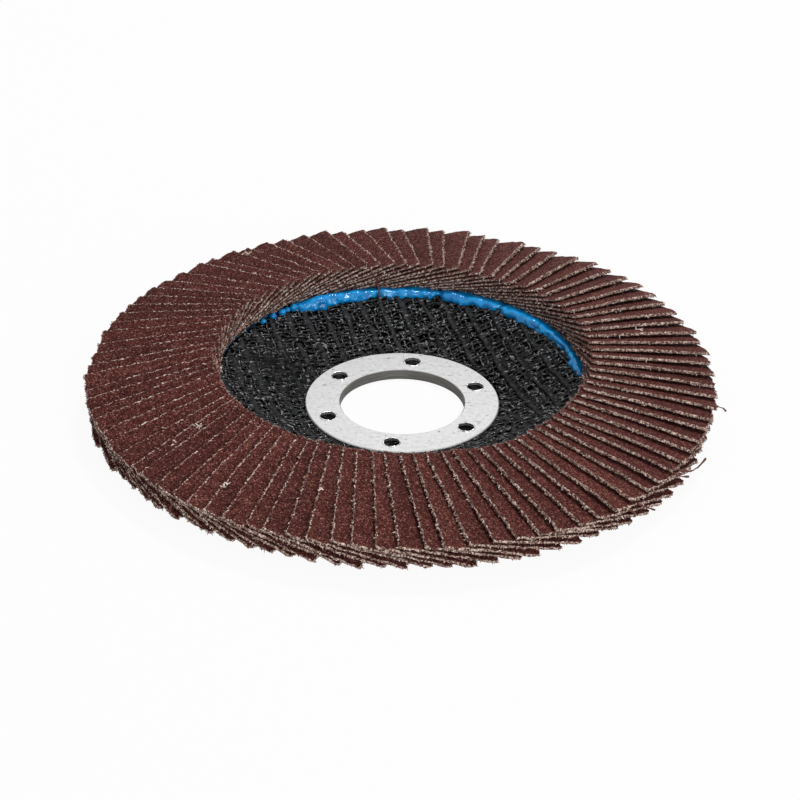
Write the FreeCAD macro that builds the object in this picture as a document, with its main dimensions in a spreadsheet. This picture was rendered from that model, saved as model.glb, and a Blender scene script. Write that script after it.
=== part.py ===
import FreeCAD, Part
import os
import Sketcher

# Flap disc for a 115 mm angle grinder, in millimetres.
# A dished glass-fibre backing plate carries a flanged steel centre ring and, on its
# sloping outer band, a fan of ninety abrasive cloth flaps set in a bed of adhesive.
# Frame: +Z up along the bore, origin on the axis in the back face of the hub, so the
# disc rests on its hub with the abrasive side up.

SIZES = {
    # Steel centre ring: the bore is the standard arbor size that all else is scaled from.
    "bore_diameter": 22.23,
    "ring_flange_width": 6.2,
    "ring_thickness": 0.5,
    "ring_collar_wall": 0.5,
    "ring_lip_flare": 0.9,
    "ring_mouth_chamfer": 0.3,
    "ring_edge_break": 0.15,
    "ring_clearance": 0.02,
    "ring_hole_diameter": 3.0,
    "ring_hole_inset": 3.1,
    "ring_hole_count": 6,
    "ring_hole_angle": 21.6,
    # Backing plate: flat hub, conical dish and an outer band that falls away to the rim.
    "hub_thickness": 1.6,
    "hub_margin": 1.2,
    "plate_thickness": 1.8,
    "plate_bend_radius": 2.5,
    "dish_radius": 32.5,
    "dish_depth": 4.85,
    "face_slope": 10.5,
    "rim_overhang": 5.0,
    # Flaps: flat rectangles, each lying on the next one clockwise seen from above.
    "flap_count": 90,
    "flap_length": 23.5,
    "flap_width": 17.5,
    "flap_thickness": 0.5,
    "flap_gap": 0.03,
    "flap_setback": 0.8,
    "flap_edge_offset": 7.05,
    # Adhesive: a bed on the outer band, with a bevelled bead in front of the flaps' inner ends.
    "glue_line": 0.3,
    "glue_embed": 0.4,
    "glue_width": 10.0,
    "bead_width": 2.0,
    "bead_bevel": 0.8,
}

FLAPS_PER_NODE = 2

# Sizes that follow from the ones above. A flap's tilt is the one at which it clears its
# neighbour by the gap at the glued inner corner, where the fan is packed tightest.
DERIVED = {
    "bore_radius": "sizes.bore_diameter / 2",
    "collar_radius": "derived.bore_radius + sizes.ring_collar_wall",
    "ring_radius": "derived.bore_radius + sizes.ring_flange_width",
    "ring_top": "sizes.hub_thickness + sizes.ring_thickness",
    "hole_circle_radius": "derived.bore_radius + sizes.ring_hole_inset",
    "plate_bore_radius": "derived.collar_radius + sizes.ring_clearance",
    "hub_radius": "derived.ring_radius + sizes.hub_margin",
    "dish_height": "sizes.hub_thickness + sizes.dish_depth",
    "dish_rise": "sizes.dish_depth / (sizes.dish_radius - derived.hub_radius)",
    "band_fall": "tan(sizes.face_slope * 1 deg)",
    "flap_inner_radius": "sizes.dish_radius + sizes.flap_setback",
    "flap_start": "sqrt(derived.flap_inner_radius ^ 2 - sizes.flap_edge_offset ^ 2)",
    "flap_reach": "derived.flap_start + sizes.flap_length * cos(sizes.face_slope * 1 deg)",
    "flap_step": "sin(360 deg / sizes.flap_count)",
    "flap_lean": "sin(sizes.face_slope * 1 deg) * (sizes.flap_width - sizes.flap_edge_offset)",
    "flap_tilt": "atan((sizes.flap_thickness + sizes.flap_gap + derived.flap_lean * derived.flap_step)"
                 " / (derived.flap_start * derived.flap_step)) / 1 deg",
    "flap_drop": "sizes.flap_width * sin(derived.flap_tilt * 1 deg) * cos(sizes.face_slope * 1 deg)"
                 " + sizes.flap_thickness / cos(derived.flap_tilt * 1 deg) / cos(sizes.face_slope * 1 deg)",
    "flap_seat": "derived.dish_height + sizes.glue_line - sizes.flap_setback * derived.band_fall",
    "rim_radius": "sqrt(derived.flap_reach ^ 2 + sizes.flap_edge_offset ^ 2) - sizes.rim_overhang",
    "rim_height": "derived.dish_height - (derived.rim_radius - sizes.dish_radius) * derived.band_fall",
    "glue_radius": "sizes.dish_radius + sizes.glue_width",
    "glue_fall": "sizes.glue_width * derived.band_fall",
    "glue_top": "derived.dish_height + sizes.glue_line + sizes.glue_embed",
    "glue_bottom": "derived.dish_height - sizes.plate_thickness / 2",
    "bead_radius": "sizes.dish_radius - sizes.bead_width",
    "bead_top": "derived.glue_top + (sizes.bead_width - sizes.bead_bevel) * derived.band_fall",
}


def add_sizes(doc):
    """The spreadsheet of driving sizes and the set of values derived from it."""
    sheet = doc.addObject("Spreadsheet::Sheet", "sizes")
    for row, (name, value) in enumerate(SIZES.items(), start=1):
        sheet.set(f"A{row}", name)
        sheet.set(f"B{row}", str(value))
        sheet.setAlias(f"B{row}", name)
    doc.recompute()
    derived = doc.addObject("App::VarSet", "derived")
    for name in DERIVED:
        derived.addProperty("App::PropertyFloat", name, "Derived")
    for name, formula in DERIVED.items():
        derived.setExpression(name, formula)
    doc.recompute()


def bind(obj, **formulas):
    """Bind the object's properties to formulas; a double underscore stands for a dot."""
    for path, formula in formulas.items():
        obj.setExpression(path.replace("__", "."), formula)


def origin_plane(body, role):
    """One of the body's own base planes, found by its role."""
    return next(item for item in body.Origin.OriginFeatures if item.Role == role)


def add_sketch(body, name, role="XZ_Plane"):
    """An empty sketch on one of the body's base planes; on XZ its axes are radius and height."""
    sketch = body.newObject("Sketcher::SketchObject", name)
    sketch.AttachmentSupport = (origin_plane(body, role), [""])
    sketch.MapMode = "FlatFace"
    return sketch


def draw_outline(sketch, corners):
    """Closed run of lines; each corner is a pair of formulas for its place across and up."""
    places = []
    for across, up in corners:
        places.append(FreeCAD.Vector(sketch.evalExpression(across), sketch.evalExpression(up), 0))
    count = len(places)
    for index in range(count):
        sketch.addGeometry(Part.LineSegment(places[index], places[(index + 1) % count]), False)
    for index in range(count):
        sketch.addConstraint(Sketcher.Constraint("Coincident", index, 2, (index + 1) % count, 1))


def drive(sketch, kind, *where, formula):
    """A dimension of the sketch, bound to a formula."""
    index = sketch.addConstraint(Sketcher.Constraint(kind, *where, sketch.evalExpression(formula)))
    sketch.setExpression(f"Constraints[{index}]", formula)


def drive_outline(sketch, corners):
    """Outline whose corners are all bound to their formulas; "0" puts one on the base line."""
    draw_outline(sketch, corners)
    for index, (across, up) in enumerate(corners):
        drive(sketch, "DistanceX", -1, 1, index, 1, formula=across)
        if up == "0":
            sketch.addConstraint(Sketcher.Constraint("PointOnObject", index, 1, -1))
        else:
            drive(sketch, "DistanceY", -1, 1, index, 1, formula=up)


def revolve(body, sketch, name):
    """Full turn of the sketch about the body's vertical axis."""
    turn = body.newObject("PartDesign::Revolution", name)
    turn.Profile = sketch
    turn.ReferenceAxis = (sketch, ["V_Axis"])
    turn.Angle = 360
    return turn


def round_corner(sketch, line, formula):
    """Arc in place of the corner where the line starts; what placed the corner still does."""
    sketch.fillet(line, 1, sketch.evalExpression(formula), True, True)
    arc = sketch.GeometryCount - 2
    drive(sketch, "Radius", arc, formula=formula)


def make_backing_plate(doc):
    """Moulded plate of even thickness: hub with a countersunk bore, dish and sloping band.

    The upper side is placed by its sizes. The under side runs parallel to it, one plate
    thickness away, so its corners only start near their places. The bend at the hub is
    rounded; the crest between dish and band is sharp, and adhesive covers its upper side.
    """
    body = doc.addObject("PartDesign::Body", "backing_plate")
    sketch = add_sketch(body, "plate_section")
    sink_radius = "derived.plate_bore_radius + sizes.ring_lip_flare"
    draw_outline(sketch, [
        (sink_radius, "0"),
        ("derived.hub_radius", "0"),
        ("sizes.dish_radius", "derived.dish_height - sizes.plate_thickness"),
        ("derived.rim_radius", "derived.rim_height - sizes.plate_thickness"),
        ("derived.rim_radius", "derived.rim_height"),
        ("sizes.dish_radius", "derived.dish_height"),
        ("derived.hub_radius", "sizes.hub_thickness"),
        ("derived.plate_bore_radius", "sizes.hub_thickness"),
        ("derived.plate_bore_radius", "sizes.ring_lip_flare"),
    ])
    under_hub, under_dish, under_band, rim, band, dish, hub, bore, sink = range(9)
    for corner in (under_hub, under_dish):
        sketch.addConstraint(Sketcher.Constraint("PointOnObject", corner, 1, -1))
    sketch.addConstraint(Sketcher.Constraint("Horizontal", hub))
    sketch.addConstraint(Sketcher.Constraint("Vertical", bore))
    sketch.addConstraint(Sketcher.Constraint("Parallel", under_dish, dish))
    sketch.addConstraint(Sketcher.Constraint("Parallel", under_band, band))
    sketch.addConstraint(Sketcher.Constraint("Perpendicular", rim, band))
    drive(sketch, "DistanceX", -1, 1, under_hub, 1, formula=sink_radius)
    drive(sketch, "DistanceX", -1, 1, bore, 1, formula="derived.plate_bore_radius")
    drive(sketch, "DistanceY", -1, 1, bore, 1, formula="sizes.hub_thickness")
    drive(sketch, "DistanceY", -1, 1, sink, 1, formula="sizes.ring_lip_flare")
    drive(sketch, "DistanceX", -1, 1, hub, 1, formula="derived.hub_radius")
    drive(sketch, "DistanceX", -1, 1, dish, 1, formula="sizes.dish_radius")
    drive(sketch, "DistanceY", -1, 1, dish, 1, formula="derived.dish_height")
    drive(sketch, "DistanceX", -1, 1, band, 1, formula="derived.rim_radius")
    drive(sketch, "DistanceY", -1, 1, band, 1, formula="derived.rim_height")
    drive(sketch, "Distance", rim, formula="sizes.plate_thickness")
    drive(sketch, "Distance", under_dish, 1, dish, formula="sizes.plate_thickness")
    doc.recompute()
    round_corner(sketch, hub, "sizes.plate_bend_radius")
    round_corner(sketch, under_dish, "sizes.plate_bend_radius + sizes.plate_thickness")
    revolve(body, sketch, "plate_turn")
    return body


def make_centre_ring(doc):
    """Pressed steel ring: flange on the hub, collar through the bore, lip flared at the back."""
    body = doc.addObject("PartDesign::Body", "centre_ring")
    sketch = add_sketch(body, "ring_section")
    below_top = "derived.ring_top - sizes.ring_edge_break"
    drive_outline(sketch, [
        ("derived.bore_radius", "sizes.ring_mouth_chamfer"),
        ("derived.bore_radius", below_top),
        ("derived.bore_radius + sizes.ring_edge_break", "derived.ring_top"),
        ("derived.ring_radius - sizes.ring_edge_break", "derived.ring_top"),
        ("derived.ring_radius", below_top),
        ("derived.ring_radius", "sizes.hub_thickness"),
        ("derived.collar_radius", "sizes.hub_thickness"),
        ("derived.collar_radius", "sizes.ring_lip_flare"),
        ("derived.collar_radius + sizes.ring_lip_flare", "0"),
        ("derived.bore_radius + sizes.ring_mouth_chamfer", "0"),
    ])
    revolve(body, sketch, "ring_turn")
    doc.recompute()

    place = add_sketch(body, "hole_place", "XY_Plane")
    across = "derived.hole_circle_radius * cos(sizes.ring_hole_angle * 1 deg)"
    along = "derived.hole_circle_radius * sin(sizes.ring_hole_angle * 1 deg)"
    centre = FreeCAD.Vector(place.evalExpression(across), place.evalExpression(along), 0)
    radius = place.evalExpression("sizes.ring_hole_diameter / 2")
    place.addGeometry(Part.Circle(centre, FreeCAD.Vector(0, 0, 1), radius), False)
    drive(place, "DistanceX", -1, 1, 0, 3, formula=across)
    drive(place, "DistanceY", -1, 1, 0, 3, formula=along)
    drive(place, "Diameter", 0, formula="sizes.ring_hole_diameter")
    hole = body.newObject("PartDesign::Pocket", "hole")
    hole.Profile = place
    hole.Type = "ThroughAll"
    hole.Reversed = True
    doc.recompute()
    pattern = body.newObject("PartDesign::PolarPattern", "hole_circle")
    pattern.Originals = [hole]
    pattern.Axis = (place, ["N_Axis"])
    pattern.Angle = 360
    bind(pattern, Occurrences="sizes.ring_hole_count")
    body.Tip = pattern
    return body


def make_flap(doc):
    """The first flap, where it lies in the disc: the sketch is its abrasive face."""
    body = doc.addObject("PartDesign::Body", "flap")
    sketch = add_sketch(body, "flap_outline", "XY_Plane")
    bind(
        sketch,
        AttachmentOffset__Base__x="derived.flap_start",
        AttachmentOffset__Base__y="-sizes.flap_edge_offset",
        AttachmentOffset__Base__z="derived.flap_seat + derived.flap_drop",
        AttachmentOffset__Rotation__Pitch="sizes.face_slope * 1 deg",
        AttachmentOffset__Rotation__Roll="-derived.flap_tilt * 1 deg",
    )
    draw_outline(sketch, [
        ("0", "0"),
        ("sizes.flap_length", "0"),
        ("sizes.flap_length", "sizes.flap_width"),
        ("0", "sizes.flap_width"),
    ])
    sketch.addConstraint(Sketcher.Constraint("Coincident", 0, 1, -1, 1))
    for line in (0, 2):
        sketch.addConstraint(Sketcher.Constraint("Horizontal", line))
    for line in (1, 3):
        sketch.addConstraint(Sketcher.Constraint("Vertical", line))
    drive(sketch, "Distance", 0, formula="sizes.flap_length")
    drive(sketch, "Distance", 1, formula="sizes.flap_width")
    cloth = body.newObject("PartDesign::Pad", "cloth")
    cloth.Profile = sketch
    cloth.Reversed = True
    bind(cloth, Length="sizes.flap_thickness")
    doc.recompute()
    return body


def make_flap_fan(doc, flap):
    """All flaps as turned copies of the first, and the nodes that each hold two neighbours."""
    unturned = FreeCAD.Rotation(FreeCAD.Vector(0, 0, 1), 0)
    flaps = []
    for index in range(SIZES["flap_count"]):
        copy = doc.addObject("App::Link", f"flap_place_{index + 1:02d}")
        copy.LinkedObject = flap
        copy.Placement = FreeCAD.Placement(FreeCAD.Vector(), unturned)
        bind(copy, Placement__Rotation__Angle=f"{index} * 360 deg / sizes.flap_count")
        flaps.append(copy)
    fan = doc.addObject("Part::Compound", "flap_fan")
    fan.Links = flaps
    nodes = []
    for start in range(0, len(flaps), FLAPS_PER_NODE):
        node = doc.addObject("Part::Compound", f"flap_pair_{start // FLAPS_PER_NODE + 1:02d}")
        node.Links = flaps[start:start + FLAPS_PER_NODE]
        nodes.append(node)
    return fan, nodes


def make_adhesive(doc, plate, fan):
    """Adhesive moulded to the plate below, slotted by the flaps, with a bevelled inner bead.

    The blank reaches half-way into the plate, so that cutting it with the plate seats it.
    """
    body = doc.addObject("PartDesign::Body", "glue_blank")
    sketch = add_sketch(body, "glue_section")
    drive_outline(sketch, [
        ("derived.bead_radius", "derived.glue_bottom - sizes.bead_width * derived.dish_rise"),
        ("sizes.dish_radius", "derived.glue_bottom"),
        ("derived.glue_radius", "derived.glue_bottom - derived.glue_fall"),
        ("derived.glue_radius", "derived.glue_top - derived.glue_fall"),
        ("derived.bead_radius + sizes.bead_bevel", "derived.bead_top"),
        ("derived.bead_radius", "derived.bead_top - sizes.bead_bevel"),
    ])
    revolve(body, sketch, "glue_turn")
    seated = doc.addObject("Part::Cut", "glue_on_plate")
    seated.Base = body
    seated.Tool = plate
    slotted = doc.addObject("Part::Cut", "adhesive")
    slotted.Base = seated
    slotted.Tool = fan
    return slotted


def check_document(doc):
    """Stop with a plain message if any object of the document failed to build."""
    for item in doc.Objects:
        failed = {"Invalid", "Error"}.intersection(item.State)
        if failed:
            raise RuntimeError(f"{item.Label} did not build: {item.State}")


def export_nodes(nodes):
    """Check every sub-part's shape, then write each one to a file named for its node."""
    for node in nodes:
        if node.Shape.isNull() or not node.Shape.isValid():
            raise RuntimeError(f"{node.Label} has no valid shape")
    os.makedirs("parts", exist_ok=True)
    for node in nodes:
        node.Shape.exportStep(os.path.join("parts", f"{node.Label}.step"))


def main():
    doc = FreeCAD.newDocument("flap_disc")
    add_sizes(doc)
    plate = make_backing_plate(doc)
    ring = make_centre_ring(doc)
    flap = make_flap(doc)
    fan, flap_nodes = make_flap_fan(doc, flap)
    adhesive = make_adhesive(doc, plate, fan)
    doc.recompute()
    check_document(doc)
    nodes = [plate, ring, adhesive, *flap_nodes]
    export_nodes(nodes)
    for node in nodes[:4]:
        print(node.Label, len(node.Shape.Solids), "solid(s), volume", round(node.Shape.Volume, 2))


main()
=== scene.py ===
import math
import random

import bpy
import numpy as np
from mathutils import Euler, Matrix, Vector, noise
from mathutils.bvhtree import BVHTree


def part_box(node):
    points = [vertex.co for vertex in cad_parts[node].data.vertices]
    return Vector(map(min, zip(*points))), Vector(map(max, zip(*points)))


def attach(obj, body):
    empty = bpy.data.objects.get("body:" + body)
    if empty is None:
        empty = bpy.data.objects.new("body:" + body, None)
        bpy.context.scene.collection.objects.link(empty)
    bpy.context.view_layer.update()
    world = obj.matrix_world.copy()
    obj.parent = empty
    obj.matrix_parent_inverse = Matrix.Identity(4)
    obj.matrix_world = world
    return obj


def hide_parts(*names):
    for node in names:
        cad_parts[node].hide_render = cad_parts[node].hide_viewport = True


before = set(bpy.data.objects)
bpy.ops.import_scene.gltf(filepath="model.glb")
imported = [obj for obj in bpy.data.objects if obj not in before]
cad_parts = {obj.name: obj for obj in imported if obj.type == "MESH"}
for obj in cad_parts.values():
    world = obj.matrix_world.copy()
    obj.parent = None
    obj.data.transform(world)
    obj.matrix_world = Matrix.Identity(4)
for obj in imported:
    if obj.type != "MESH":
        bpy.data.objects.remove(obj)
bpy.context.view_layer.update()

# Backing plate. Phenolic resin pressed hot over several layers of open glass cloth, so it
# is black, fairly glossy and never smooth: under the resin skin the yarns of the lower
# layers still stand out as a fine square grid, on the back as well as in the dish.
mm = 0.001
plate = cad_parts["backing_plate"]

# Angle of the cloth's threads to the disc's own X axis, and the spacing of the lower layers'
# yarns; then the patch on the left of the dish where resin floods the cloth.
cloth_angle = math.radians(18.6)
lower_yarn_spacing = 1.8 * mm
flood_centre = (-21.5 * mm, 9.5 * mm, 0.0)
flood_radius = 6.5 * mm


def linear(colour):
    """Linear red, green, blue and alpha of an sRGB colour written as six hex digits."""
    channels = []
    for start in (0, 2, 4):
        value = int(colour[start:start + 2], 16) / 255
        channels.append(value / 12.92 if value <= 0.04045 else ((value + 0.055) / 1.055) ** 2.4)
    return (*channels, 1.0)


def add_node(tree, kind, settings, inputs):
    """One node: its settings by name, then its inputs, each a fixed value or a link."""
    node = tree.nodes.new(kind)
    for name, value in settings.items():
        setattr(node, name, value)
    for name, value in inputs.items():
        if isinstance(value, bpy.types.NodeSocket):
            tree.links.new(value, node.inputs[name])
        else:
            node.inputs[name].default_value = value
    return node


def new_finish(name):
    """An empty material and the parts of it that every finish starts from."""
    material = bpy.data.materials.new(name)
    material.use_nodes = True
    tree = material.node_tree
    shader = tree.nodes["Principled BSDF"]
    place = tree.nodes.new("ShaderNodeTexCoord").outputs["Object"]
    return material, tree, shader, place


def set_ramp(ramp, stops):
    """Colour stops of a ramp, as pairs of a position and an sRGB colour."""
    band = ramp.color_ramp
    while len(band.elements) > 1:
        band.elements.remove(band.elements[-1])
    for index, (position, colour) in enumerate(stops):
        stop = band.elements[0] if index == 0 else band.elements.new(position)
        stop.position = position
        stop.color = linear(colour)


# Pressed phenolic resin: near black and glossy. Where the skin floods the cloth it is a
# smooth dark grey with small black pinholes. Here and below, the scale of a spotted pattern is
# the number of its spots in a millimetre; a wave of scale 1 repeats every 0.314 of a metre.
wave_period = 0.314
resin, tree, shader, place = new_finish("pressed_phenolic_resin")
turned = add_node(tree, "ShaderNodeMapping", {}, {"Vector": place, "Rotation": (0, 0, -cloth_angle)})
heights = []
for direction in ("X", "Y"):
    heights.append(add_node(
        tree, "ShaderNodeTexWave",
        {"wave_type": "BANDS", "bands_direction": direction, "wave_profile": "SIN"},
        {"Vector": turned.outputs[0], "Scale": wave_period / lower_yarn_spacing, "Distortion": 1.2,
         "Detail": 1.0, "Detail Scale": 1.5},
    ).outputs["Color"])
grid = add_node(tree, "ShaderNodeMath", {"operation": "MAXIMUM"}, {0: heights[0], 1: heights[1]})
mottle = add_node(tree, "ShaderNodeTexNoise", {}, {"Vector": place, "Scale": 0.9 / mm, "Detail": 3.0})
relief = add_node(tree, "ShaderNodeMath", {"operation": "MULTIPLY_ADD"},
                  {0: mottle.outputs["Fac"], 1: 1.2, 2: grid.outputs[0]})
bump = add_node(tree, "ShaderNodeBump", {}, {
    "Strength": 0.9, "Distance": 0.25 * mm, "Height": relief.outputs[0]})
level_place = add_node(tree, "ShaderNodeVectorMath", {"operation": "MULTIPLY"}, {
    0: place, 1: (1.0, 1.0, 0.0)})
apart = add_node(tree, "ShaderNodeVectorMath", {"operation": "DISTANCE"}, {
    0: level_place.outputs[0], 1: flood_centre})
flooded = add_node(tree, "ShaderNodeMapRange", {}, {
    "Value": apart.outputs["Value"], "From Min": 0.7 * flood_radius, "From Max": 1.5 * flood_radius,
    "To Min": 1.0, "To Max": 0.0})
tint = add_node(tree, "ShaderNodeValToRGB", {}, {"Fac": mottle.outputs["Fac"]})
set_ramp(tint, [(0.3, "000000"), (0.62, "040405"), (0.8, "101012")])
skin = add_node(tree, "ShaderNodeValToRGB", {}, {"Fac": mottle.outputs["Fac"]})
set_ramp(skin, [(0.43, "000000"), (0.48, "0c0c0c"), (0.58, "181818"), (0.7, "2a2a2a")])
dark = add_node(tree, "ShaderNodeMix", {"data_type": "RGBA"},
                {"Factor": flooded.outputs[0], 6: tint.outputs["Color"], 7: skin.outputs["Color"]})
tree.links.new(dark.outputs[2], shader.inputs["Base Color"])
tree.links.new(bump.outputs[0], shader.inputs["Normal"])
shader.inputs["Roughness"].default_value = 0.25
shader.inputs["Specular IOR Level"].default_value = 0.04
plate.data.materials.clear()
plate.data.materials.append(resin)

# Top layer of glass cloth. A leno mesh, wetted through with the same resin and pressed into
# the dish: broad flat ribbons of warp one way, and across them a close weft of thin twisted
# yarns, with dark meshes between. Towards one side the resin nearly floods it.
cloth_inner = 17.5 * mm
cloth_outer = 33.0 * mm
warp_spacing = 3.65 * mm
weft_spacing = 1.42 * mm
ribbon_width = 1.35 * mm
yarn_width = 0.58 * mm
point_spacing = 0.33 * mm

# How far the warp lies off the middle of the disc, as a share of its spacing, and how deep
# the flood of resin drowns the yarns.
warp_phase = 0.35
flood_sink = 0.42 * mm

plate_tree = BVHTree.FromObject(plate, bpy.context.evaluated_depsgraph_get())
yarn_draw = random.Random(7)


def new_piece(name, points, edges, faces):
    """An object in the scene, at the origin, with its place in its mesh."""
    mesh = bpy.data.meshes.new(name)
    mesh.from_pydata(points, edges, faces)
    piece = bpy.data.objects.new(name, mesh)
    bpy.context.scene.collection.objects.link(piece)
    return piece


def lay_yarns(name, runs, lowest, swing, lump_length):
    """Lines along the dish for each run, a direction, an offset and a width, as an object."""
    points = []
    edges = []
    girths = []
    for direction, across, width in runs:
        turn = Matrix.Rotation(cloth_angle + direction * math.pi / 2, 3, "Z")
        own = yarn_draw.uniform(0, 100)
        steps = int(cloth_outer / point_spacing)
        last = None
        for step in range(-steps, steps + 1):
            along = step * point_spacing
            # The line wanders aside, slowly and quickly; its lumps rise and fall, and it sinks
            # where resin floods the cloth.
            wander = noise.noise((along / (6 * mm), across / mm, direction * 9.0)) * 0.5 * mm
            wander += noise.noise((along / (1.5 * mm), own, 0.0)) * swing * 0.6
            spot = turn @ Vector((along, across + wander, 0.0))
            hit = None
            if cloth_inner < spot.length < cloth_outer:
                hit, _, _, _ = plate_tree.ray_cast(spot + Vector((0, 0, 20 * mm)), Vector((0, 0, -1)))
            if hit is None:
                last = None
                continue
            flood = math.exp(-((spot - Vector(flood_centre)).length / flood_radius) ** 2)
            sunk = flood * flood_sink + 0.12 * mm * noise.noise((spot.x / (4 * mm), spot.y / (4 * mm), 2.0))
            hit.z += lowest + swing * noise.noise((along / lump_length, own, 5.0)) - sunk
            points.append(hit)
            girths.append(width * (1 + 0.7 * noise.noise((along / lump_length, own, 8.0))))
            if last is not None:
                edges.append((last, len(points) - 1))
            last = len(points) - 1
    laid = new_piece(name, points, edges, [])
    laid.data.attributes.new("girth", "FLOAT", "POINT").data.foreach_set("value", girths)
    return laid


# The ribbons of the warp; then the twisted yarns, two to each pick of the weft and two more in
# each space between ribbons.
runs = []
count = int(cloth_outer / warp_spacing) + 1
for line in range(-count, count + 1):
    runs.append((1, (line + warp_phase) * warp_spacing, ribbon_width * yarn_draw.uniform(0.8, 1.1)))
ribbons = lay_yarns("glass_ribbons", runs, lowest=0.22 * mm, swing=0.1 * mm, lump_length=2.4 * mm)
runs = []
count = int(cloth_outer / weft_spacing)
for line in range(-count, count + 1):
    for side in (-0.22, 0.22):
        runs.append((0, (line + side) * weft_spacing, yarn_width * yarn_draw.uniform(0.8, 1.25)))
count = int(cloth_outer / warp_spacing) + 1
for line in range(-count, count + 1):
    for side in (0.33, 0.66):
        runs.append((1, (line + warp_phase + side) * warp_spacing, yarn_width * 0.9))
yarns = lay_yarns("glass_yarns", runs, lowest=0.1 * mm, swing=0.52 * mm, lump_length=1.3 * mm)

# Resin-soaked ribbon: pressed flat, so it is smooth, matt and dark grey.
ribbon_glass, tree, shader, place = new_finish("resin_soaked_glass_ribbon")
streaks = add_node(tree, "ShaderNodeTexNoise", {}, {"Vector": place, "Scale": 1.3 / mm, "Detail": 3.0})
bump = add_node(tree, "ShaderNodeBump", {}, {
    "Strength": 0.35, "Distance": 0.1 * mm, "Height": streaks.outputs["Fac"]})
tint = add_node(tree, "ShaderNodeValToRGB", {}, {"Fac": streaks.outputs["Fac"]})
set_ramp(tint, [(0.36, "0a0a0b"), (0.5, "202122"), (0.66, "303133")])
tree.links.new(tint.outputs["Color"], shader.inputs["Base Color"])
tree.links.new(bump.outputs[0], shader.inputs["Normal"])
shader.inputs["Roughness"].default_value = 0.5
shader.inputs["Specular IOR Level"].default_value = 0.06

# Resin-soaked twisted yarn: black and wet-looking; the pale top of its colour is a painted highlight, short
# bright glints on its lumps beside those from its gloss.
yarn_glass, tree, shader, place = new_finish("resin_soaked_glass_yarn")
lumps = add_node(tree, "ShaderNodeTexNoise", {}, {"Vector": place, "Scale": 1.4 / mm, "Detail": 3.0})
bump = add_node(tree, "ShaderNodeBump", {}, {
    "Strength": 0.75, "Distance": 0.22 * mm, "Height": lumps.outputs["Fac"]})
tint = add_node(tree, "ShaderNodeValToRGB", {}, {"Fac": lumps.outputs["Fac"]})
# The pale last stop is a painted highlight: glints on the yarn's lumps.
set_ramp(tint, [(0.47, "000000"), (0.59, "0a0a0b"), (0.68, "8a8b8e")])
tree.links.new(tint.outputs["Color"], shader.inputs["Base Color"])
tree.links.new(bump.outputs[0], shader.inputs["Normal"])
shader.inputs["Roughness"].default_value = 0.16
shader.inputs["Specular IOR Level"].default_value = 0.2


def new_tree(name, sizes):
    """An empty tree of geometry nodes and its group input; sizes are pairs of name and kind."""
    tree = bpy.data.node_groups.new(name, "GeometryNodeTree")
    tree.interface.new_socket("Geometry", in_out="INPUT", socket_type="NodeSocketGeometry")
    tree.interface.new_socket("Geometry", in_out="OUTPUT", socket_type="NodeSocketGeometry")
    for size, kind in sizes:
        tree.interface.new_socket(size, in_out="INPUT", socket_type=kind)
    return tree, tree.nodes.new("NodeGroupInput").outputs


def end_tree(tree, geometry, finish):
    """The last nodes of a tree: its geometry made real, in its finish, to the group's output."""
    whole = add_node(tree, "GeometryNodeRealizeInstances", {}, {"Geometry": geometry})
    coated = add_node(tree, "GeometryNodeSetMaterial", {}, {
        "Geometry": whole.outputs[0], "Material": finish})
    add_node(tree, "NodeGroupOutput", {}, {"Geometry": coated.outputs[0]})


def grow(obj, tree, values):
    """Run the tree on the object with its named inputs, and keep the result as a plain mesh."""
    modifier = obj.modifiers.new(tree.name, "NODES")
    modifier.node_group = tree
    for item in tree.interface.items_tree:
        if item.item_type == "SOCKET" and item.in_out == "INPUT" and item.name in values:
            modifier[item.identifier] = values[item.name]
    bpy.context.view_layer.update()
    graph = bpy.context.evaluated_depsgraph_get()
    grown = bpy.data.meshes.new_from_object(
        obj.evaluated_get(graph), preserve_all_data_layers=True, depsgraph=graph)
    obj.modifiers.remove(modifier)
    obj.data = grown
    return obj


tree, sizes = new_tree("yarns_on_lines", [
    ("Flatness", "NodeSocketFloat"),
    ("Finish", "NodeSocketMaterial"),
])
lines = add_node(tree, "GeometryNodeMeshToCurve", {}, {"Mesh": sizes["Geometry"]})
upright = add_node(tree, "GeometryNodeSetCurveNormal", {"mode": "Z_UP"}, {"Curve": lines.outputs[0]})
section = add_node(tree, "GeometryNodeCurvePrimitiveCircle", {}, {"Resolution": 6, "Radius": 0.5})
width = add_node(tree, "GeometryNodeInputNamedAttribute", {"data_type": "FLOAT"}, {"Name": "girth"})
flat = add_node(tree, "ShaderNodeCombineXYZ", {}, {"X": 1.0, "Y": sizes["Flatness"], "Z": 1.0})
pressed = add_node(tree, "GeometryNodeTransform", {}, {
    "Geometry": section.outputs[0], "Scale": flat.outputs[0]})
swept = add_node(tree, "GeometryNodeCurveToMesh", {}, {
    "Curve": upright.outputs[0], "Profile Curve": pressed.outputs[0], "Scale": width.outputs["Attribute"],
    "Fill Caps": True})
smooth = add_node(tree, "GeometryNodeSetShadeSmooth", {}, {"Geometry": swept.outputs[0]})
end_tree(tree, smooth.outputs[0], sizes["Finish"])
for piece, flatness, finish in ((ribbons, 0.14, ribbon_glass), (yarns, 0.8, yarn_glass)):
    grow(piece, tree, {"Flatness": flatness, "Finish": finish})
    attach(piece, "root")
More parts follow.
